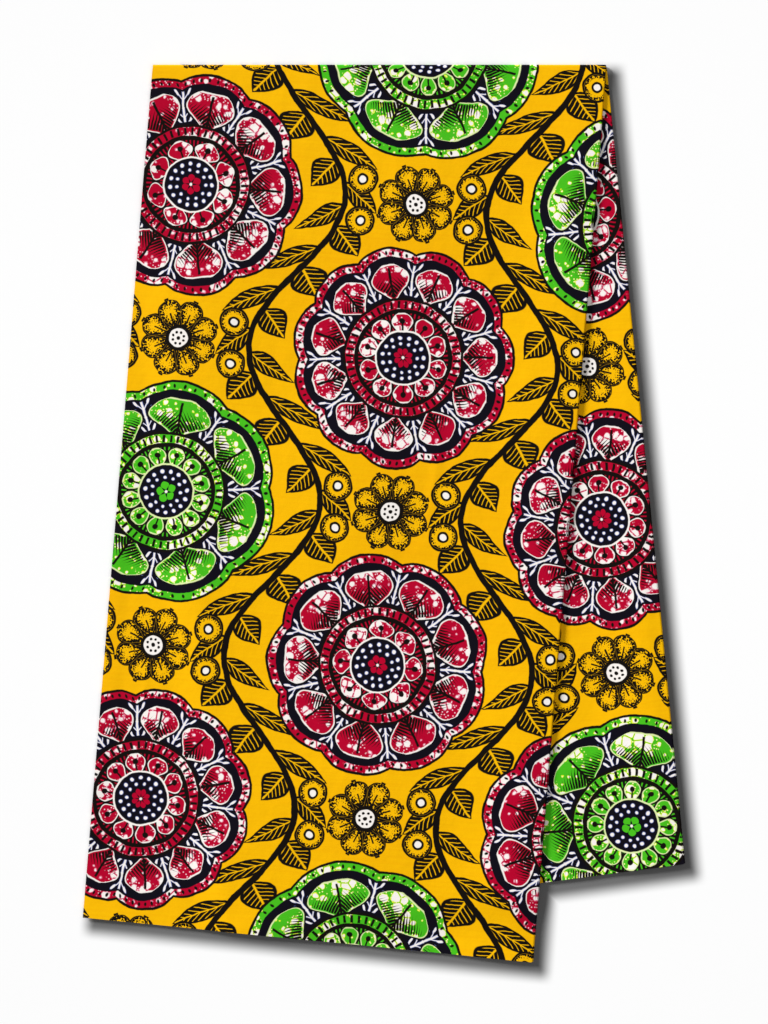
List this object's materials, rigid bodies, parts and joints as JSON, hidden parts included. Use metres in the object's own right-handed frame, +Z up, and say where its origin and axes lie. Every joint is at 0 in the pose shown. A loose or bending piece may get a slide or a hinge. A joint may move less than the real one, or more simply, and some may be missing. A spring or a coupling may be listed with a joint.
{
  "type": "folded wax print fabric",
  "caption": "Length of printed cotton folded selvedge to selvedge and turned over at the top, laid flat with its two drops fanned apart.",
  "frame": {"origin": "middle of the part's box, on the flat underside", "axes": "+Y from the hems towards the fold line, +X towards the side where the back drop shows, +Z up out of the cloth's face"},
  "size_m": [0.7784, 1.1602, 0.0082],
  "materials": {
    "printed_cotton": "plain-weave cotton with a crisp wax print, golden yellow ground, crimson, green, navy and off-white motifs, soft low sheen"
  },
  "bodies": {
    "root": {"front_drop": "printed_cotton", "top_fold": "printed_cotton", "back_drop": "printed_cotton"}
  },
  "joints": []
}
